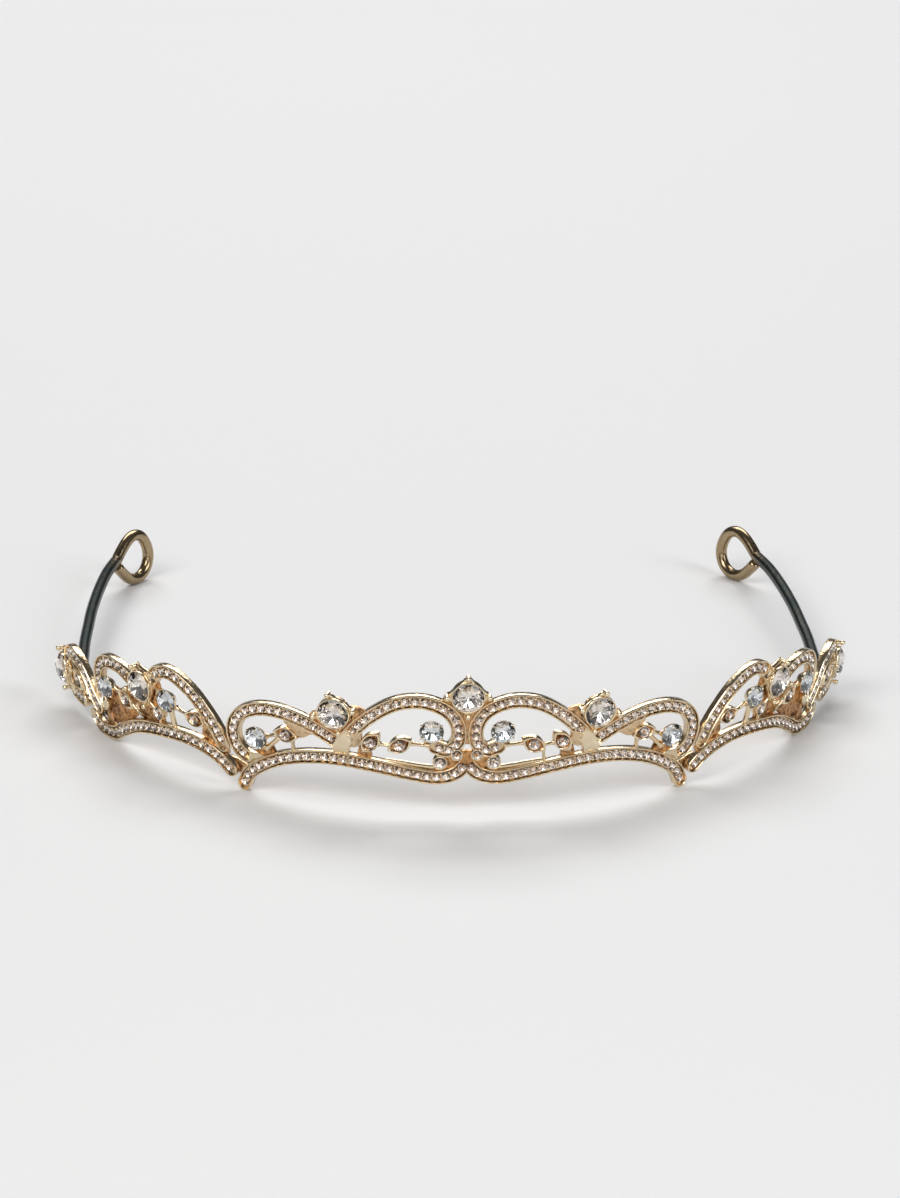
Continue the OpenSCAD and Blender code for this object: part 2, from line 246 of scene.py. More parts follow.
gold = metalFinish("castGold", goldLook)
wireGold = metalFinish("wireGold", wireLook)
crystal = glassFinish("clearGlass", stoneLook)
cupFoil = foilFinish("cupFoil", stoneLook, "cup")
clawFoil = foilFinish("clawFoil", stoneLook, "claw")
paveFoil = foilFinish("paveFoil", stoneLook, "pave")
print("finishes made")


# the skin of one piece while it is made, in millimetres
class Casting:
    def __init__(self):
        self.points = []
        self.faces = []
        self.recess = []  # per point: 0 on a rim, 1 at the bottom of a channel; it paints shade into the metal's colour
        self.finishes = []  # per face: the material's number

    def addPoints(self, points, recess=0.0):
        # recess is one number or one for each point
        first = len(self.points)
        self.points += points
        self.recess += recess if isinstance(recess, list) else [recess] * len(points)
        return first

    def addFace(self, corners, finish=0):
        self.faces.append(tuple(corners))
        self.finishes.append(finish)

    def addTube(self, rings, recess, wrap=False):
        # rings of equal length joined into a skin; wrap joins the last to the first
        n = len(rings[0])
        firsts = [self.addPoints(r, k) for r, k in zip(rings, recess)]
        for a, b in zip(firsts, firsts[1:] + firsts[:1] if wrap else firsts[1:]):
            for j in range(n):
                k = (j + 1) % n
                self.addFace((a + j, a + k, b + k, b + j))
        return firsts

    def closeLadder(self, first, n):
        # closes a ring whose two sides face each other
        for j in range(n // 2 - 1):
            self.addFace((first + j, first + j + 1, first + n - 2 - j, first + n - 1 - j))

    def closeFan(self, first, n, middle, recess):
        centre = self.addPoints([middle], recess)
        for j in range(n):
            self.addFace((first + j, first + (j + 1) % n, centre))

    def addSlab(self, rings, recess):
        # a skin closed front and back, where its two long sides face each other
        firsts = self.addTube(rings, recess)
        self.closeLadder(firsts[0], len(rings[0]))
        self.closeLadder(firsts[-1], len(rings[0]))

    def addRound(self, rings, recess, tips):
        # a skin closed by a fan at each end
        firsts = self.addTube(rings, recess)
        self.closeFan(firsts[0], len(rings[0]), tips[0], recess[0])
        self.closeFan(firsts[-1], len(rings[-1]), tips[1], recess[-1])

    def join(self, other):
        first = len(self.points)
        self.points += other.points
        self.recess += other.recess
        self.faces += [tuple(first + c for c in face) for face in other.faces]
        self.finishes += other.finishes

    def mirrored(self):
        other = Casting()
        other.points = [Vector((-p.x, p.y, p.z)) for p in self.points]
        other.recess = list(self.recess)
        other.faces = [tuple(reversed(face)) for face in self.faces]
        other.finishes = list(self.finishes)
        return other

    def piece(self, name, materials, slot, replaced=(), smooth=38):
        # makes the Blender object and ties it to the frame
        mesh = bpy.data.meshes.new(name)
        mesh.from_pydata([p * mm for p in self.points], [], self.faces)
        mesh.attributes.new("recess", "FLOAT", "POINT").data.foreach_set("value", self.recess)
        for material in materials:
            mesh.materials.append(material)
        mesh.polygons.foreach_set("material_index", self.finishes)
        form = bmesh.new()
        form.from_mesh(mesh)
        bmesh.ops.recalc_face_normals(form, faces=form.faces)
        form.to_mesh(mesh)
        form.free()
        if smooth:
            mesh.shade_smooth()
            mesh.set_sharp_from_angle(angle=math.radians(smooth))
        else:
            mesh.shade_flat()
        made = bpy.data.objects.new(name, mesh)
        bpy.context.scene.collection.objects.link(made)
        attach(made, "root")
        if replaced:
            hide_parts(*replaced)


def shareOf(x):
    return min(1.0, max(0.0, x))


def curvePoint(a, b, c, d, t):
    # a point between b and c on the smooth curve through all four
    return 0.5 * (2 * b + (c - a) * t + (2 * a - 5 * b + 4 * c - d) * t * t + (3 * b - a - 3 * c + d) * t**3)


def smoothLine(table, step=0.4):
    knots = [Vector(row) for row in table]
    knots = [2 * knots[0] - knots[1]] + knots + [2 * knots[-1] - knots[-2]]
    line = []
    for a, b, c, d in zip(knots, knots[1:], knots[2:], knots[3:]):
        n = max(1, math.ceil((c - b).length / step))
        line += [curvePoint(a, b, c, d, j / n) for j in range(n)]
    return line + [knots[-2]]


def heading(line, i):
    return (line[min(i + 1, len(line) - 1)] - line[max(i - 1, 0)]).normalized()


def leftOf(v):
    return Vector((-v.y, v.x))


def lengths(line):
    total, out = 0.0, [0.0]
    for a, b in zip(line, line[1:]):
        total += (b - a).length
        out.append(total)
    return out


def bothSides(rows):
    # rows of a middle point and the way to its left side: that side forwards, then the right side back
    return [p + side for p, side in rows] + [p - side for p, side in reversed(rows)]


def circle(radius, sides, z=0.0, turn=0.0):
    angles = [turn + 2 * math.pi * k / sides for k in range(sides)]
    return [Vector((radius * math.cos(a), radius * math.sin(a), z)) for a in angles]


# the strips: a channel with thin rims, plain metal towards its ends
stripLook = {
    "halfWidth": 1.3,
    "endTurns": (82, 66, 50, 34, 17),  # degrees, where the round ends have their corners
    "plainDepth": -0.10,
    "plainRun": 0.9,  # over this length the channel turns into plain metal
    "rim": 0.2,
    "behind": -1.0,  # what lies deeper than this is the back
    "dip": 0.2,  # over this width a strip sinks beside the one that it runs under
    "lap": -0.02,  # how far the two halves of the centre reach past its middle
    # inset from the outline, depth, recess; the last one is the channel's floor
    "profile": (
        (0.40, -1.40, 0.5),
        (0.12, -1.36, 0.4),
        (0.00, -1.20, 0.4),
        (0.00, -0.24, 0.1),
        (0.03, -0.08, 0.0),
        (0.09, -0.01, 0.0),
        (0.16, 0.00, 0.0),
        (0.23, -0.03, 0.0),
        (0.27, -0.12, 0.1),
        (0.30, -0.42, 0.25),
        (0.38, -0.66, 0.25),
    ),
}
backShade = 0.55  # recess of the back of the metal between the strips: painted shade


def stripOutline(line, half, inset):
    # along the left side, round the end and back
    w = half - inset
    turns = [math.radians(a) for a in stripLook["endTurns"]]
    first, last = heading(line, 0), heading(line, len(line) - 1)
    rows = [(line[0] - first * w * math.sin(a), leftOf(first) * w * math.cos(a)) for a in turns]
    rows += [(p, leftOf(heading(line, i)) * w) for i, p in enumerate(line)]
    rows += [(line[-1] + last * w * math.sin(a), leftOf(last) * w * math.cos(a)) for a in reversed(turns)]
    return bothSides(rows)


def dipped(p, d, under):
    # a strip sinks where it runs under another one; rows of under: the other line, the depth there
    for line, depth in under:
        near = min((p - q).length for q in line)
        if depth < d:
            d += (depth - d) * shareOf((stripLook["halfWidth"] - near) / stripLook["dip"])
    return d


def addStrip(casting, line, plainStart, plainEnd, under=()):
    # plainStart and plainEnd: the length of plain metal at each end
    run = lengths(line)
    ends = len(stripLook["endTurns"])

    def plain(reach, length):
        return shareOf((length - reach) / stripLook["plainRun"] + 0.5) if length else 0.0

    shares = [max(plain(r, plainStart), plain(run[-1] - r, plainEnd)) for r in run]
    shares = [shares[0]] * ends + shares + [shares[-1]] * ends
    shares += shares[::-1]
    rings, recess = [], []
    for inset, depth, deep in stripLook["profile"]:
        behind = depth < stripLook["behind"]
        row = []
        for p, share in zip(stripOutline(line, stripLook["halfWidth"], inset), shares):
            d = depth
            if inset > stripLook["rim"] and not behind:
                d = depth * (1 - share) + max(depth, stripLook["plainDepth"]) * share
            row.append(onWall(max(p.x, stripLook["lap"]), p.y, dipped(p, d, under)))
        rings.append(row)
        recess.append([deep if behind else deep * (1 - share) for share in shares])
    casting.addSlab(rings, recess)


def addBand(casting, table, half, back, front, recess=0.0):
    # a plain rounded band: inset from its outline, depth, recess
    rows = [(0.12, back, recess + 0.4), (0, back + 0.12, recess + 0.2), (0, front - 0.18, recess)]
    rows += [(0.10, front - 0.04, recess), (0.24, front, recess)]
    line = smoothLine(table)
    rings = []
    for inset, d, k in rows:
        rings.append([onWall(p.x, p.y, d) for p in stripOutline(line, half, min(inset, half * 0.7))])
    casting.addSlab(rings, [k for inset, d, k in rows])


def addTurned(casting, matrix, profile, sides=24, wrap=False):
    # profile rows: radius, height, recess; wrap joins the last row to the first
    rings = [[matrix @ p for p in circle(r, sides, h)] for r, h, k in profile]
    recess = [k for r, h, k in profile]
    if wrap:
        casting.addTube(rings, recess, wrap=True)
    else:
        casting.addRound(rings, recess, [matrix @ Vector((0, 0, profile[i][1])) for i in (0, -1)])


def addBall(casting, matrix, radius, sides=8, levels=5):
    angles = [math.pi * k / levels for k in range(1, levels)]
    rings = [[matrix @ p for p in circle(radius * math.sin(a), sides, -radius * math.cos(a))] for a in angles]
    casting.addRound(rings, [0.0] * len(rings), [matrix @ Vector((0, 0, h)) for h in (-radius, radius)])


chance = random.Random(11)


def tilted(matrix, degrees):
    return (
        matrix
        @ Matrix.Rotation(math.radians(chance.uniform(-degrees, degrees)), 4, "X")
        @ Matrix.Rotation(math.radians(chance.uniform(-degrees, degrees)), 4, "Y")
    )


def anyTurn():
    return chance.uniform(0, 45)  # the stones look the same again after 45 degrees


# the cuts, in shares of the stone's radius; the girdle is at height 0
cuts = {
    "brilliant": {
        "table": 0.56,
        "crown": 0.36,
        "back": 0.45,
        "girdle": 0.03,
        "kites": 0.76,
        "mains": (0.28, 0.78),  # the second is a share of the back
    },
    "chip": {"table": 0.52, "crown": 0.34, "back": 0.5, "girdle": 0.03},
}


def stoneCorners(stones, matrix, radius, rows):
    # rows: number of corners, share of the radius, height, turn; gives the first point of each
    firsts = []
    for n, share, height, turn in rows:
        corners = circle(radius * share, n, radius * height, math.radians(turn))
        firsts.append(stones.addPoints([matrix @ p for p in corners]))
    return firsts


def addBrilliant(stones, matrix, radius):
    # a round brilliant: its crown has finish 0, the glass, and its back finish 1, the foil
    cut = cuts["brilliant"]
    table, crown, back, girdle, kite = (cut[key] for key in ("table", "crown", "back", "girdle", "kites"))
    slope = (crown - girdle) / (1 - table)
    kiteHeight = crown - (kite * math.cos(math.radians(22.5)) - table) * slope
    rows = [(8, table, crown, 0), (8, kite, kiteHeight, 22.5), (16, 1, girdle, 0), (16, 1, -girdle, 0)]
    rows += [(8, cut["mains"][0], -back * cut["mains"][1], 22.5), (1, 0, -back, 0)]
    tops, kites, upper, lower, mains, tip = stoneCorners(stones, matrix, radius, rows)
    stones.addFace([tops + k for k in range(8)], 0)
    for k in range(8):
        before, after = (k - 1) % 8, (k + 1) % 8
        g0, g1, g2 = 2 * k, 2 * k + 1, (2 * k + 2) % 16
        stones.addFace((tops + k, kites + k, tops + after), 0)
        stones.addFace((tops + k, kites + before, upper + g0, kites + k), 0)
        stones.addFace((kites + k, upper + g0, upper + g1), 0)
        stones.addFace((kites + k, upper + g1, upper + g2), 0)
        stones.addFace((mains + k, lower + g1, lower + g0), 1)
        stones.addFace((mains + k, lower + g2, lower + g1), 1)
        stones.addFace((tip, mains + k, lower + g0, mains + before), 1)
    for k in range(16):
        stones.addFace((upper + k, lower + k, lower + (k + 1) % 16, upper + (k + 1) % 16), 0)


def addChip(stones, matrix, radius):
    # a small stone with an eight-sided table
    cut = cuts["chip"]
    rows = [(8, cut["table"], cut["crown"], 22.5), (16, 1, cut["girdle"], 0)]
    rows += [(16, 1, -cut["girdle"], 0), (1, 0, -cut["back"], 0)]
    tops, upper, lower, tip = stoneCorners(stones, matrix, radius, rows)
    stones.addFace([tops + k for k in range(8)], 0)
    for k in range(8):
        g0, g1, g2 = 2 * k, 2 * k + 1, (2 * k + 2) % 16
        stones.addFace((tops + k, upper + g0, upper + g1), 0)
        stones.addFace((tops + k, upper + g1, upper + g2), 0)
        stones.addFace((tops + k, upper + g2, tops + (k + 1) % 8), 0)
    for k in range(16):
        after = (k + 1) % 16
        stones.addFace((upper + k, lower + k, lower + after, upper + after), 0)
        stones.addFace((tip, lower + after, lower + k), 1)


# the leaves: a pointed rim round one small stone
leafLook = {
    "length": 4.6,
    "width": 2.9,
    "steps": 14,
    "taper": 1.7,  # the point draws in by this many times the inset
    "fullness": 0.85,
    "tip": 0.03,
    "stone": 0.98,
    "stoneDepth": -0.12,
    "tilt": 4,
    "profile": (
        (0.30, -1.40, 0.5),
        (0.00, -1.25, 0.4),
        (0.00, -0.20, 0.0),
        (0.08, -0.03, 0.0),
        (0.18, 0.00, 0.0),
        (0.28, -0.06, 0.0),
        (0.36, -0.35, 0.8),
        (0.48, -0.50, 1.0),
    ),
}


def addLeaf(casting, stones, s, z, turn):
    middle, n = Vector((s, z)), leafLook["steps"]
    along = Vector((math.cos(math.radians(turn)), math.sin(math.radians(turn))))
    steps = [math.sin(math.pi * (k / n - 0.5)) for k in range(n + 1)]
    rings = []
    for inset, d, k in leafLook["profile"]:
        a = leafLook["length"] / 2 - inset * leafLook["taper"]
        b = leafLook["width"] / 2 - inset
        widths = [max(b * (1 - u * u) ** leafLook["fullness"], leafLook["tip"]) for u in steps]
        outline = bothSides([(middle + along * a * u, leftOf(along) * w) for u, w in zip(steps, widths)])
        rings.append([onWall(p.x, p.y, d) for p in outline])
    casting.addSlab(rings, [k for inset, d, k in leafLook["profile"]])
    addChip(stones, tilted(seatMatrix(s, z, leafLook["stoneDepth"]), leafLook["tilt"]), leafLook["stone"])


# the small round seats with their stones
seatLook = {
    "stoneInset": 0.22,
    "stoneDepth": -0.05,
    "tilt": 4,
    # inset from the rim, depth, recess; the first row lies at the back of the casting
    "profile": (
        (0.30, -1.40, 0.5),
        (0.02, -1.20, 0.3),
        (0.00, -0.20, 0.0),
        (0.06, -0.04, 0.0),
        (0.16, 0.00, 0.0),
        (0.26, -0.06, 0.0),
        (0.32, -0.40, 0.9),
        (0.50, -0.50, 1.0),
    ),
}


def addSmallSeat(casting, stones, s, z, radius, depth):
    profile = [(radius - inset, h, k) for inset, h, k in seatLook["profile"]]
    profile[0] = (profile[0][0], ring["back"] - depth, profile[0][2])
    addTurned(casting, seatMatrix(s, z, depth), profile)
    stone = tilted(seatMatrix(s, z, depth + seatLook["stoneDepth"]), seatLook["tilt"])
    addChip(stones, stone, radius - seatLook["stoneInset"])


# the open cups, held by four small grips
cupLook = {
    "stone": 2.1,
    "stoneDepth": 0.1,
    "tilt": 2,
    # radius, height, recess
    "profile": (
        (0.50, -1.40, 0.5),
        (1.15, -1.38, 0.4),
        (1.55, -0.90, 0.3),
        (2.04, -0.20, 0.1),
        (2.10, -0.02, 0.0),
        (2.07, 0.06, 0.0),
        (1.98, 0.05, 0.0),
        (1.50, -0.62, 0.9),
        (0.60, -1.00, 1.0),
    ),
    "gripTurns": (35, 145, 215, 325),
    "gripDepth": 0.1,
    "gripPlace": (2.12, 0, 0.05),
    "gripShape": (1.2, 0.8, 1.6, 1),
    "grip": 0.2,
}


def addOpenCup(casting, s, z):
    addTurned(casting, seatMatrix(s, z), cupLook["profile"])
    for a in cupLook["gripTurns"]:
        grip = seatMatrix(s, z, cupLook["gripDepth"], a) @ Matrix.Translation(cupLook["gripPlace"])
        addBall(casting, grip @ Matrix.Diagonal(cupLook["gripShape"]), cupLook["grip"])


# cast stems, a little wider where they run into what they join
stemLook = {
    "radius": 0.31,
    "sides": 12,
    "depth": -0.74,
    "thick": 0.46,
    "flare": 0.9,
    "recess": 0.15,
    "stations": (0, 0.12, 0.28, 0.5, 0.72, 0.88, 1),
}


def addStem(casting, start, end, radius=stemLook["radius"]):
    a, b = Vector(start), Vector(end)
    side = leftOf((b - a).normalized())
    angles = [2 * math.pi * k / stemLook["sides"] for k in range(stemLook["sides"])]
    rings = []
    for t in stemLook["stations"]:
        w = radius * (1 + stemLook["flare"] * (2 * abs(t - 0.5)) ** 3)
        across = [a + (b - a) * t + side * w * math.cos(angle) for angle in angles]
        depths = [stemLook["depth"] + stemLook["thick"] * math.sin(angle) for angle in angles]
        rings.append([onWall(q.x, q.y, d) for q, d in zip(across, depths)])
    tips = [onWall(p.x, p.y, stemLook["depth"]) for p in (a, b)]
    casting.addRound(rings, [stemLook["recess"]] * len(rings), tips)


# the cast metal that fills the corners between strips
webLook = {"front": -0.5, "crown": 0.12, "recess": 0.35, "back": ring["back"]}


def addWeb(casting, corners, changes):
    # changes: what this web has other than in webLook; its outline is halfway from straight to round
    look = {**webLook, **changes}
    front, crown, recess, back = (look[key] for key in ("front", "crown", "recess", "back"))
    corners = [Vector(c) for c in corners]
    middle = sum(corners, Vector((0, 0))) / len(corners)
    outline = []
    for i, b in enumerate(corners):
        a, c, d = (corners[(i + k) % len(corners)] for k in (-1, 1, 2))
        for t in (0, 0.25, 0.5, 0.75):
            outline.append(curvePoint(a, b, c, d, t) * 0.5 + (b + (c - b) * t) * 0.5)
    # share of the outline, depth, recess
    rows = [(0.94, back, backShade), (1.0, back + 0.1, backShade), (1.0, front - 0.12, recess + 0.1)]
    rows += [(0.96, front, recess), (0.6, front + crown * 0.7, recess)]
    rings = []
    for share, d, k in rows:
        rings.append([onWall(p.x, p.y, d) for p in (middle + (q - middle) * share for q in outline)])
    tips = [onWall(middle.x, middle.y, d) for d in (back, front + crown)]
    casting.addRound(rings, [k for share, d, k in rows], tips)


# the metal round a large setting
collarLook = {
    "hole": 3.02,
    "front": -0.5,
    "recess": 0.7,
    "sides": 72,
    "least": 0.18,  # its least width
    "shown": 0.2,  # where it is narrower, it stays behind the setting
    "hiddenRadius": (2.2, 0.4),  # at the hole, and how much it grows
    "hiddenDepth": -0.86,
}


def reachTo(corners, centre, ray, least):
    # how far a ray from the centre runs inside the corners
    reach = least
    for a, b in zip(corners, corners[1:] + corners[:1]):
        edge, off = Vector(b) - Vector(a), Vector(a) - centre
        lean = ray.x * edge.y - ray.y * edge.x
        if abs(lean) > 1e-9:
            t = (off.x * edge.y - off.y * edge.x) / lean
            if t > 0 and 0 <= (off.x * ray.y - off.y * ray.x) / lean <= 1:
                reach = max(reach, t)
    return reach


def addCollar(casting, seat, corners, changes):
    look = {**collarLook, **changes}
    centre, back = Vector(seat[:2]), ring["back"]
    hole, front, recess = look["hole"], look["front"], look["recess"]
    rays = [Vector(p[:2]) for p in circle(1, look["sides"])]
    reaches = [reachTo(corners, centre, ray, hole + look["least"]) for ray in rays]
    inner, growth = look["hiddenRadius"]
    # share of the way out from the hole, depth, recess
    rows = [(0, back, backShade), (0, front - 0.15, recess + 0.3), (0.1, front, recess)]
    rows += [(0.5, front - 0.1, recess + 0.1), (0.9, front, recess)]
    rows += [(1, front - 0.12, recess + 0.1), (1, back, backShade)]
    rings = []
    for share, d, k in rows:
        row = []
        for ray, reach in zip(rays, reaches):
            if reach > hole + look["shown"]:
                p, depth = centre + ray * (hole + (reach - hole) * share), d
            else:
                p, depth = centre + ray * (inner + growth * share), min(d, look["hiddenDepth"])
            row.append(onWall(p.x, p.y, depth))
        rings.append(row)
    casting.addTube(rings, [k for share, d, k in rows], wrap=True)


# the rows of small stones, with two grains of metal between each pair
paveLook = {
    "radius": 0.75,
    "sizes": (0.96, 1.03),
    "pitch": 1.62,
    "margin": 0.35,
    "depth": -0.30,
    "tilt": 5.0,
    "grain": 0.2,
    "grainSide": 0.56,
    "clear": 4.0,  # how far the stones stay from the middle of a large setting
}


def pave(casting, stones, line, plainStart, plainEnd, avoid):
    run = lengths(line)
    start, end = plainStart + paveLook["margin"], run[-1] - plainEnd - paveLook["margin"]
    count = max(1, round((end - start) / paveLook["pitch"]))
    pitch, depth = (end - start) / count, paveLook["depth"]

    def at(reach):
        i = max(k for k in range(len(run)) if run[k] <= max(reach, 0.0))
        i = min(i, len(line) - 2)
        t = (reach - run[i]) / (run[i + 1] - run[i])
        p = line[i] + (line[i + 1] - line[i]) * t
        return p, leftOf(heading(line, i)), all((p - q).length > paveLook["clear"] for q in avoid)

    for k in range(count + 1):
        p, side, clear = at(start + k * pitch)
        if clear:
            seat = tilted(seatMatrix(p.x, p.y, depth, anyTurn()), paveLook["tilt"])
            addChip(stones, seat, paveLook["radius"] * chance.uniform(*paveLook["sizes"]))
        if k < count:
            p, side, clear = at(start + (k + 0.5) * pitch)
            if clear:
                for away in (-paveLook["grainSide"], paveLook["grainSide"]):
                    q = p + side * away
                    addBall(casting, seatMatrix(q.x, q.y, depth), paveLook["grain"])


# centre lines, along the ring and up, as in the part's source
bigArch = smoothLine([
    (5.2, 12.5), (3.2, 12.0), (1.8, 13.2), (1.4, 15.0), (1.7, 17.0), (2.9, 19.0), (5.3, 20.5),
    (8.4, 21.1), (12.0, 20.4), (15.5, 18.3), (18.6, 15.4), (20.8, 12.4), (21.2, 10.3),
])
centreRail = smoothLine([
    (0.3, 9.2), (2.0, 7.5), (5.3, 6.7), (10.0, 7.4), (15.5, 8.4), (21.5, 9.1),
    (27.0, 8.8), (32.1, 7.5), (36.1, 5.4), (38.4, 3.4), (39.5, 1.31),
])
scroll = smoothLine([
    (21.2, 10.3), (22.0, 12.2), (24.4, 13.8), (28.0, 15.5), (32.0, 16.5), (35.7, 16.4), (38.9, 15.1),
    (40.8, 12.7), (41.1, 10.2), (40.1, 7.8), (38.2, 6.6), (36.2, 6.6),
])
sideRail = smoothLine([
    (42.1, 3.3), (44.0, 4.9), (47.0, 6.3), (51.5, 7.1), (57.5, 6.8), (63.5, 5.6),
    (68.0, 3.5), (71.0, 1.8), (74.0, 1.31), (76.5, 1.5), (78.4, 2.7),
])
innerArch = smoothLine([
    (43.3, 7.8), (44.4, 10.0), (46.5, 13.0), (49.8, 16.4), (54.0, 18.5), (57.2, 17.9), (59.2, 15.6),
])
outerArch = smoothLine([
    (64.2, 14.0), (67.8, 15.5), (71.8, 15.3), (74.4, 13.5), (75.3, 10.9), (74.9, 8.5), (73.6, 6.6),
])
endArch = smoothLine([
    (76.2, 5.0), (78.6, 6.9), (80.3, 8.9), (82.8, 10.8), (85.8, 11.6), (88.7, 10.9), (90.2, 9.0), (90.3, 6.6),
    (89.3, 4.5),
])
endBar = smoothLine([(89.2, 4.3), (86.0, 3.9), (82.6, 3.9)])


def cutFrom(line, other, distance):
    # the part of a line that stays clear of another strip
    return [p for p in line if all((p - q).length >= distance for q in other)]


endBar = cutFrom(endBar, endArch, 1.4)
# the large seats: along the ring, up, turn of the claws
bigSeats = {
    "centre": (0, 22.35, 0),
    "crest": (22.3, 17.9, -14),
    "side": (61.6, 14.1, -22),
    "end": (91.9, 6.7, -12),
}
cupSeats = {"arch": (5.9, 15.6), "scroll": (36.5, 10.8), "inner": (55.2, 13.1), "outer": (72.2, 10.3)}
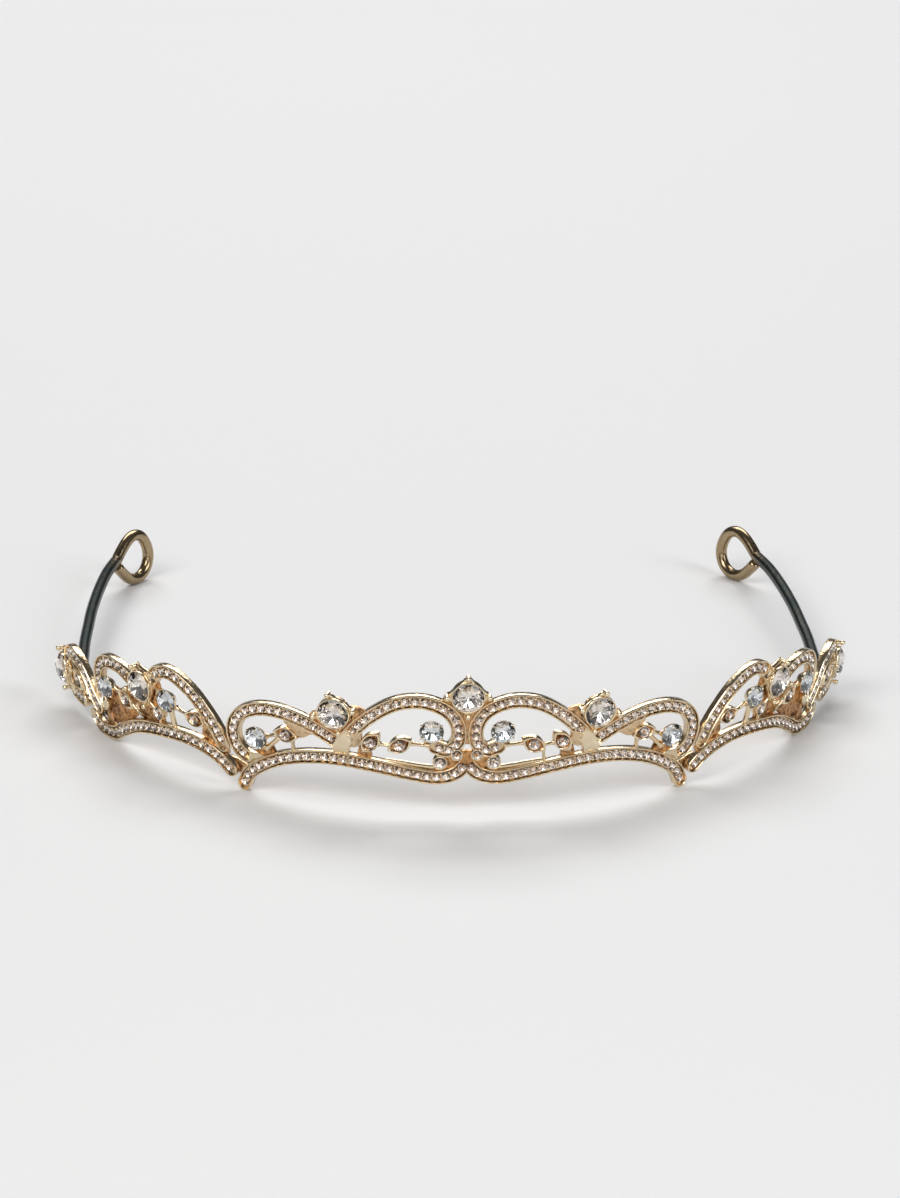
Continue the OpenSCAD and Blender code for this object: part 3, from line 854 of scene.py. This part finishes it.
# strips: line, plain length at its start and its end, what it runs under
# rows: line, length without small stones at its start and its end; they keep off the seats in avoid
# leaves: along, up, turn; seats: along, up, radius, depth; stems: from, to and a radius if not the usual
# bands: line, half width, back, front and a recess if not 0
# collars and webs: corners, and what differs from collarLook or webLook
plans = {
    "centre": {
        "strips": (
            (bigArch, 0.0, 3.9, ((centreRail, -0.8), (scroll, -0.12), ([Vector((1.7, 11.0))], -0.6))),
            (centreRail, 0.0, 0.0, (([Vector((0.0, 10.7))], -0.6),)),
            (scroll, 2.6, 2.4, ((centreRail, -0.8), (bigArch, -0.12))),
        ),
        "rows": ((bigArch, 0.2, 4.5), (centreRail, 0.45, 0.0), (scroll, 3.2, 3.0)),
        "leaves": ((11.3, 12.6, -28), (16.2, 12.8, -52), (31.1, 12.3, 8)),
        "seats": ((1.7, 11.0, 1.10, -0.25), (4.5, 9.6, 1.30, 0.0)),
        "cups": ("arch", "scroll"),
        "stems": (
            ((6.2, 12.6), (9.8, 12.9)),
            ((12.9, 12.3), (14.8, 12.5)),
            ((17.2, 12.6), (19.0, 13.0)),
            ((30.0, 11.3), (29.9, 9.4)),
            ((32.9, 11.8), (34.9, 11.1)),
            ((31.9, 11.9), (35.0, 8.6), 0.42),
        ),
        "bands": (
            (((5.6, 8.4), (8.0, 8.65), (11.0, 9.05), (13.5, 9.3)), 0.3, -1.3, -0.55),
            (((17.5, 8.0), (22.0, 8.2), (27.0, 7.9), (31.0, 6.8), (34.0, 5.6)), 0.7, -2.2, -1.1, 0.3),
        ),
        "collars": {
            "crest": (
                [
                    (16.4, 18.2), (18.6, 19.2), (26.4, 17.4), (26.9, 16.2),
                    (24.2, 14.0), (21.4, 12.2), (18.8, 15.2),
                ],
                {},
            ),
        },
        "webs": (
            # under the crest setting
            (
                [(19.4, 16.6), (21.4, 14.6), (24.2, 14.8), (25.6, 17.6), (23.4, 20.2), (20.4, 19.8)],
                {"front": -0.85, "crown": 0},
            ),
            # beside the leaf under the crest, and its foot
            ([(17.7, 12.2), (17.9, 14.6), (19.6, 14.2), (20.4, 11.8), (19.0, 11.5)], {"front": -0.3}),
            ([(16.3, 11.6), (18.2, 11.7), (18.5, 9.4), (16.1, 9.4)], {"front": -0.45, "recess": 0.9}),
            # the arch's foot, and round the small seats
            (
                [(2.6, 11.4), (4.6, 11.2), (6.9, 12.4), (7.4, 14.2), (5.6, 14.6), (3.6, 13.2)],
                {"front": -0.8, "crown": 0},
            ),
            (
                [(1.0, 10.6), (2.8, 11.4), (4.8, 10.4), (5.4, 8.0), (3.4, 7.4), (1.2, 8.4)],
                {"front": -0.6, "recess": 0.9},
            ),
            # between the scroll and its leaf
            (
                [
                    (25.4, 13.2), (28.0, 15.0), (31.8, 15.8), (30.8, 13.6),
                    (29.6, 12.0), (28.0, 12.1), (26.6, 12.9),
                ],
                {"front": -0.45, "recess": 0.45},
            ),
            # between the cup and the rail
            (
                [(33.9, 9.4), (36.0, 9.4), (37.2, 7.4), (35.4, 6.2), (33.2, 7.6)],
                {"front": -0.45, "recess": 1.0},
            ),
            # the foot of the rail, and the plate that laps behind the side section
            (
                [(38.0, 2.6), (39.8, 1.6), (40.4, 2.4), (40.0, 4.0), (38.4, 4.6)],
                {"back": -2.2, "front": -0.85, "crown": 0},
            ),
            (
                [(39.0, 2.2), (43.2, 2.6), (44.6, 4.4), (42.8, 5.2), (39.0, 3.8)],
                {"back": -2.2, "front": -1.5, "crown": 0},
            ),
        ),
    },
    "side": {
        "strips": ((sideRail, 0.0, 0.4), (innerArch, 0.0, 0.8), (outerArch, 0.8, 0.8)),
        "rows": ((sideRail, 0.1, 0.6), (innerArch, 0.8, 0.6), (outerArch, 0.6, 0.8)),
        "avoid": ("side",),
        "leaves": ((49.2, 11.2, 12), (66.6, 9.8, 35)),
        "seats": ((57.6, 10.0, 1.3, 0.0),),
        "cups": ("inner", "outer"),
        "stems": (
            ((47.6, 11.0), (46.4, 10.6)),
            ((50.9, 11.4), (53.6, 12.0)),
            ((56.8, 14.2), (59.2, 14.6)),
            ((57.6, 9.2), (57.8, 7.2)),
            ((58.6, 10.2), (60.4, 11.4)),
            ((65.4, 9.2), (62.0, 7.6)),
            ((68.2, 10.2), (71.0, 10.2)),
            ((58.6, 16.7), (62.7, 17.4), 0.4),
            ((55.0, 11.6), (54.2, 7.6), 0.5),
        ),
        "collars": {
            # down to the rail
            "side": (
                [
                    (58.0, 15.8), (57.4, 12.6), (58.2, 9.0), (58.6, 7.6),
                    (62.4, 7.0), (64.6, 10.2), (66.4, 13.4), (65.0, 15.4),
                ],
                {"front": -0.75, "recess": 0.8},
            ),
        },
        "webs": (
            # beside the first leaf
            (
                [
                    (42.6, 6.0), (46.4, 7.0), (48.2, 8.4), (47.9, 10.4),
                    (48.6, 12.6), (48.4, 14.4), (46.0, 12.6), (43.6, 9.2),
                ],
                {"front": -0.8, "recess": 0.8},
            ),
            # behind the side setting
            (
                [
                    (57.0, 7.4), (61.0, 7.0), (63.6, 9.8), (66.4, 13.6),
                    (62.0, 15.8), (57.6, 15.4), (57.6, 11.4),
                ],
                {"front": -0.86, "crown": 0, "recess": 0.8},
            ),
            # behind the second leaf, down to the rail
            (
                [
                    (65.6, 9.0), (68.4, 10.4), (71.2, 10.6), (73.8, 8.6), (74.4, 6.0),
                    (72.8, 3.8), (69.8, 3.8), (67.0, 5.4), (64.4, 7.0),
                ],
                {"front": -0.95, "recess": 1.0},
            ),
            (
                [(72.9, 5.0), (71.6, 2.6), (74.4, 1.8), (74.5, 4.4), (74.2, 6.0)],
                {"front": -0.8, "recess": 0.8},
            ),
        ),
    },
    "end": {
        "strips": ((endArch, 0.0, 0.6), (endBar, 0.6, 0.6)),
        "rows": ((endArch, 0.1, 0.8), (endBar, 0.6, 0.8)),
        "leaves": ((84.8, 7.0, 40),),
        "stems": (((83.4, 6.2), (82.6, 4.6)), ((86.2, 8.2), (88.6, 10.0))),
        "webs": (
            # behind the end setting
            ([(89.4, 4.4), (93.2, 4.5), (94.8, 6.7), (93.2, 8.8), (89.4, 9.4)], {"front": -0.86, "crown": 0}),
            # inside the arch, beside the leaf
            (
                [(86.0, 10.4), (88.4, 10.2), (89.4, 7.2), (88.0, 4.6), (85.6, 4.8), (86.6, 7.4)],
                {"front": -0.9, "recess": 1.0},
            ),
        ),
    },
}
# where the halves of the centre meet: round its setting, then under it, at the waist and over the notch
centreJoin = {
    "collar": [(0, 18.6), (2.6, 18.6), (4.6, 20.4), (3.9, 22.0), (2.0, 24.0), (0, 25.0)],
    "webs": (
        ([(-1.9, 20.6), (-1.9, 17.8), (1.9, 17.8), (1.9, 20.6)], {"front": -0.85, "crown": 0}),
        ([(-1.3, 18.6), (-1.2, 13.3), (1.2, 13.3), (1.3, 18.6)], {"recess": 0.8}),
        ([(-1.6, 11.5), (-1.8, 8.6), (1.8, 8.6), (1.6, 11.5)], {"front": -0.6, "recess": 0.9}),
    ),
    "strut": ((12.9, 12.0), (13.3, 8.7), 0.26),  # only the right half has it
}


def makeHalf(plan):
    metal, stones = Casting(), Casting()
    avoid = [Vector(bigSeats[name][:2]) for name in plan.get("avoid", ())]
    for strip in plan["strips"]:
        addStrip(metal, *strip)
    for row in plan["rows"]:
        pave(metal, stones, *row, avoid)
    for leaf in plan["leaves"]:
        addLeaf(metal, stones, *leaf)
    for seat in plan.get("seats", ()):
        addSmallSeat(metal, stones, *seat)
    for name in plan.get("cups", ()):
        addOpenCup(metal, *cupSeats[name])
    for stem in plan["stems"]:
        addStem(metal, *stem)
    for band in plan.get("bands", ()):
        addBand(metal, *band)
    for name, (corners, changes) in plan.get("collars", {}).items():
        addCollar(metal, bigSeats[name], corners, changes)
    for corners, changes in plan["webs"]:
        addWeb(metal, corners, changes)
    return metal, stones


def hands(*made):
    # what is made for the right, then its mirror image for the left
    return (("right", *made), ("left", *(part.mirrored() for part in made)))


metal, stones = makeHalf(plans["centre"])
for part in (metal, stones):
    part.join(part.mirrored())
beside = centreJoin["collar"]
addCollar(metal, bigSeats["centre"], beside + [(-s, z) for s, z in beside[-2:0:-1]], {})
for corners, changes in centreJoin["webs"]:
    addWeb(metal, corners, changes)
addStem(metal, *centreJoin["strut"])
metal.piece("centreCasting", [gold], "gold", ["centre_frame"])
stones.piece("centrePave", [crystal, paveFoil], "stone", smooth=0)
for name in ("side", "end"):
    for hand, metal, stones in hands(*makeHalf(plans[name])):
        metal.piece(f"{name}Casting_{hand}", [gold], "gold", [f"{name}_frame_{hand}"])
        stones.piece(f"{name}Pave_{hand}", [crystal, paveFoil], "stone", smooth=0)
print("castings and small stones made")

# the claw settings
settingLook = {
    "back": -0.8,
    "stone": 2.6,
    "stoneDepth": 0.45,
    # radius, height, recess
    "cup": (
        (1.20, 0.02, 0.6), (2.40, 0.00, 0.5), (2.66, 0.10, 0.4), (2.84, 0.70, 0.2),
        (2.92, 1.08, 0.0), (2.90, 1.22, 0.0), (2.84, 1.30, 0.0), (2.75, 1.32, 0.0),
        (2.67, 1.27, 0.1), (2.64, 1.05, 0.5), (2.10, 0.50, 0.8), (1.25, 0.25, 1.0),
    ),
    "cupSides": 48,
    # the gallery plate, drawn out to the claws: share of its radius, height, recess
    "plate": ((0.94, 0.10, 0.3), (1.0, 0.20, 0.2), (1.0, 0.66, 0.1), (0.975, 0.78, 0.0), (0.93, 0.80, 0.0)),
    "plateRadius": 2.90,
    "plateSides": 96,
    "hole": 2.5,
    # painted shade inside the hole
    "holeShade": 0.5,
    "point": 0.72,
    "pointWidth": 0.26,
    "claw": ((0.30, 0.2, 0.2), (0.40, 0.3, 0.1), (0.36, 0.9, 0.0), (0.30, 1.2, 0.0), (0.28, 1.3, 0.0)),
    "clawSides": 12,
    "clawRadius": 3.6,
    "ball": 0.48,
    "ballHeight": 1.42,
    "ballCorners": (14, 7),  # round it, and from foot to top
}


def bigSetting(s, z, turn):
    look, metal = settingLook, Casting()
    matrix = seatMatrix(s, z, look["back"], turn)
    addTurned(metal, matrix, look["cup"], look["cupSides"], wrap=True)
    rings = []
    for share, h, k in look["plate"]:
        row = []
        for n in range(look["plateSides"]):
            a = 2 * math.pi * n / look["plateSides"]
            off = abs((a - math.pi / 4) % (math.pi / 2) - math.pi / 4)  # from the nearest claw
            point = look["point"] * math.exp(-((off / look["pointWidth"]) ** 2))
            reach = (look["plateRadius"] + point) * share
            row.append(matrix @ Vector((reach * math.cos(a), reach * math.sin(a), h)))
        rings.append(row)
    # its hole, from front to back
    for share, h, k in (look["plate"][-1], look["plate"][0]):
        rings.append([matrix @ p for p in circle(look["hole"], look["plateSides"], h)])
    metal.addTube(rings, [k for share, h, k in look["plate"]] + [look["holeShade"]] * 2, wrap=True)
    for a in (0, 90, 180, 270):
        turned = matrix @ Matrix.Rotation(math.radians(a), 4, "Z")
        claw = turned @ Matrix.Translation((0, look["clawRadius"], 0))
        addTurned(metal, claw, look["claw"], look["clawSides"])
        ball = claw @ Matrix.Translation((0, 0, look["ballHeight"]))
        addBall(metal, ball, look["ball"], *look["ballCorners"])
    return metal


for name, (s, z, turn) in bigSeats.items():
    metal, stone = bigSetting(s, z, turn), Casting()
    addBrilliant(stone, seatMatrix(s, z, settingLook["stoneDepth"], turn + anyTurn()), settingLook["stone"])
    for hand, metal, stone in hands(metal, stone) if name != "centre" else (("", metal, stone),):
        tail = "_" + hand if hand else ""
        metal.piece(f"{name}Setting{tail}", [gold], "gold", [f"{name}_setting{tail}"])
        stone.piece(f"{name}Stone{tail}", [crystal, clawFoil], "stone", [f"{name}_stone{tail}"], smooth=0)
for name, (s, z) in cupSeats.items():
    for hand in ("right", "left"):
        stone = Casting()
        seat = tilted(seatMatrix(s, z, cupLook["stoneDepth"], anyTurn()), cupLook["tilt"])
        addBrilliant(stone, seat, cupLook["stone"])
        if hand == "left":
            stone = stone.mirrored()
        stone.piece(f"{name}Stone_{hand}", [crystal, cupFoil], "stone", [f"{name}_stone_{hand}"], smooth=0)
print("settings and large stones made")

# the side wires
wireMeasures = {
    "diameter": 2.1,
    "sides": 20,
    "step": 0.7,
    "dark": 1.1,  # recess of the straight part, painted dark to stand in for its dark reflections, then of the loop
    "golden": 0.25,
    "loop": 34.0,  # this much at the end is golden
    "turnLength": 8.0,  # the tone turns over this length
    "dome": 0.5,  # height of the round ends, in wire radii
    "domeTurns": (72, 50, 25),
    # along, up, out
    "path": (
        (74.0, 2.9, -2.55), (79.5, 3.4, -2.55), (85.5, 3.8, -2.60), (91.5, 3.9, -3.05),
        (97.0, 4.1, -4.0), (104.0, 4.3, -5.1), (115.0, 4.8, -5.9), (125.5, 5.3, -5.4),
        (134.5, 5.8, -4.2), (142.5, 6.1, -2.4), (148.0, 6.2, -1.0),
    ),
    "loopStart": 148.7,
    "loopSize": (9.7, 8.2),
    "loopDepth": -0.8,
    # shares of the loop's length and height
    "loopPath": (
        (0.00, 0.64), (0.20, 0.80), (0.41, 0.94), (0.63, 1.00), (0.84, 0.90), (0.97, 0.66), (1.00, 0.40),
        (0.91, 0.16), (0.74, 0.02), (0.53, 0.00), (0.32, 0.10), (0.15, 0.28), (0.02, 0.45),
    ),
}


def wirePath():
    look = wireMeasures
    (length, height), depth = look["loopSize"], look["loopDepth"]
    # the loop rests on the floor
    rest = (look["diameter"] / 2 + depth * math.sin(ring["lean"])) / math.cos(ring["lean"])
    table = list(look["path"])
    table += [(look["loopStart"] + u * length, rest + v * height, depth) for u, v in look["loopPath"]]
    return [onWall(*p) for p in smoothLine(table, look["step"])]


def sideWire():
    look, metal, path = wireMeasures, Casting(), wirePath()
    radius, dome = look["diameter"] / 2, look["dome"]
    angles = [2 * math.pi * k / look["sides"] for k in range(look["sides"])]
    side = (path[1] - path[0]).cross(Vector((0, 0, 1))).normalized()
    rings, tips = [], []

    def around(centre, r):
        return [centre + side * r * math.cos(a) + other * r * math.sin(a) for a in angles]

    for i, p in enumerate(path):
        along = heading(path, i)
        side = (side - along * side.dot(along)).normalized()
        other = along.cross(side)
        rows = [around(p, radius)]
        if i in (0, len(path) - 1):
            out = along if i else -along
            turns = [math.radians(a) for a in look["domeTurns"]]
            domed = [around(p + out * radius * dome * math.sin(a), radius * math.cos(a)) for a in turns]
            rows = rows + domed[::-1] if i else domed + rows
            tips.append(p + out * radius * dome)
        rings += rows
    reaches = lengths([row[0] for row in rings])
    goldenFrom = reaches[-1] - look["loop"]
    shares = [shareOf((reach - goldenFrom) / look["turnLength"]) for reach in reaches]
    # the straight part gets the painted dark reflection, the loop only a little
    metal.addRound(rings, [look["dark"] + (look["golden"] - look["dark"]) * share for share in shares], tips)
    return metal


for hand, metal in hands(sideWire()):
    metal.piece(f"sideWire_{hand}", [wireGold], "wire", [f"side_wire_{hand}"])
print("side wires made")

# floor, light and camera
studio = {
    "floor": (0.86, 0.86, 0.86, 1),
    "floorGrain": (0.80, 0.80, 0.81, 1),
    "grainNoise": (14, 4),  # scale, detail
    "grainShare": 0.08,
    "floorHalf": 3.0,
    "floorDrop": 0.00002,
    "air": (0.62, 0.63, 0.65, 1),
    "airStrength": 0.14,
    "elevation": 20.9,
    "yaw": -3.0,
    "roll": 0.7,
    "distance": 1.09,
    "lens": 245.0,
    "target": (0.0, -0.010, 0.016),
    "lampTarget": (0, -0.02, 0.01),
    # place, size, power in watts, colour
    "lamps": (
        ((-0.55, -0.75, 0.85), (0.8, 0.6), 7.6, (1.0, 0.98, 0.95)),
        ((0.75, -0.55, 0.55), (0.4, 0.7), 3.9, (0.95, 0.97, 1.0)),
        ((0.0, 0.7, 0.8), (1.0, 0.5), 7.0, (1.0, 1.0, 1.0)),
        ((0.0, -1.3, 0.35), (1.2, 0.5), 2.4, (1.0, 1.0, 1.0)),
    ),
}


def paleFloor():
    finish = Finish("paleFloor")
    place = finish.add("ShaderNodeTexCoord", out="Object")
    grain = finish.noise(place, *studio["grainNoise"])
    finish.fill(
        finish.surface,
        {
            "Base Color": finish.mix(grain * studio["grainShare"], studio["floor"], studio["floorGrain"]),
            "Roughness": 0.6,
            "Specular IOR Level": 0.2,
        },
    )
    mesh = bpy.data.meshes.new("floor")
    size, z = studio["floorHalf"], -studio["floorDrop"]
    corners = [(-size, -size, z), (size, -size, z), (size, size, z), (-size, size, z)]
    mesh.from_pydata(corners, [], [(0, 1, 2, 3)])
    mesh.materials.append(finish.material)
    floor = bpy.data.objects.new("floor", mesh)
    bpy.context.scene.collection.objects.link(floor)


def lampAt(place, size, power, colour):
    light = bpy.data.lights.new("softbox", "AREA")
    light.shape = "RECTANGLE"
    light.size, light.size_y = size
    light.energy = power
    light.color = colour
    lamp = bpy.data.objects.new("softbox", light)
    lamp.location = place
    lamp.rotation_euler = (Vector(studio["lampTarget"]) - Vector(place)).to_track_quat("-Z", "Y").to_euler()
    bpy.context.scene.collection.objects.link(lamp)


def photoCamera():
    yaw, rise = math.radians(studio["yaw"]), math.radians(studio["elevation"])
    away = Vector((math.sin(yaw) * math.cos(rise), -math.cos(yaw) * math.cos(rise), math.sin(rise)))
    lens = bpy.data.cameras.new("photoCamera")
    lens.sensor_fit = "HORIZONTAL"
    lens.sensor_width = 36.0
    lens.lens = studio["lens"]
    lens.clip_start, lens.clip_end = 0.01, 20.0
    camera = bpy.data.objects.new("photoCamera", lens)
    camera.location = Vector(studio["target"]) + away * studio["distance"]
    roll = Matrix.Rotation(math.radians(studio["roll"]), 4, "Z").to_quaternion()
    camera.rotation_euler = ((-away).to_track_quat("-Z", "Y") @ roll).to_euler()
    bpy.context.scene.collection.objects.link(camera)
    bpy.context.scene.camera = camera


world = bpy.data.worlds.new("softRoom")
bpy.context.scene.world = world
world.use_nodes = True
background = world.node_tree.nodes["Background"]
background.inputs["Color"].default_value = studio["air"]
background.inputs["Strength"].default_value = studio["airStrength"]
paleFloor()
for lamp in studio["lamps"]:
    lampAt(*lamp)
photoCamera()
bpy.context.scene.view_settings.view_transform = "Standard"
print("studio made")
